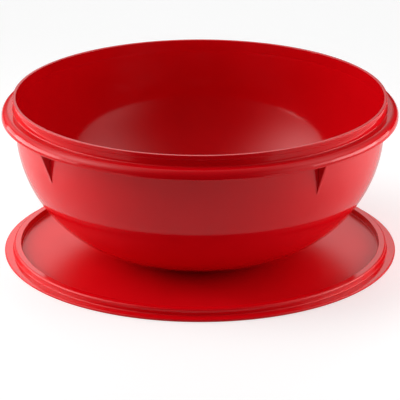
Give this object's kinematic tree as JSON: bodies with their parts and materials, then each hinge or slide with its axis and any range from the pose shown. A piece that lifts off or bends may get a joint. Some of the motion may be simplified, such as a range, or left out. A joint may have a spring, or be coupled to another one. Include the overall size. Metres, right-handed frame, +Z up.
{
  "type": "dough proofing bowl with lid",
  "caption": "Wide round plastic bowl with a flanged snap rim, standing on its own press-on disc lid; holds dough while it rises and closes for storage.",
  "frame": {"origin": "on the axis of the bowl and the lid, on the surface that the lid lies on", "axes": "+Z up along the axis, -Y towards the viewer of the picture, +X to the viewer's right"},
  "size_m": [0.332, 0.332, 0.137],
  "materials": {
    "bowl_red": "glossy moulded, solid red",
    "lid_red": "satin moulded, solid red"
  },
  "bodies": {
    "lid": {"lid": "lid_red"},
    "bowl": {"bowl": "bowl_red"}
  },
  "joints": [
    {"name": "bowl_lift", "type": "slide", "parent": "lid", "child": "bowl", "axis": [0, 0, 1], "range_m": [0, 0.15]}
  ]
}
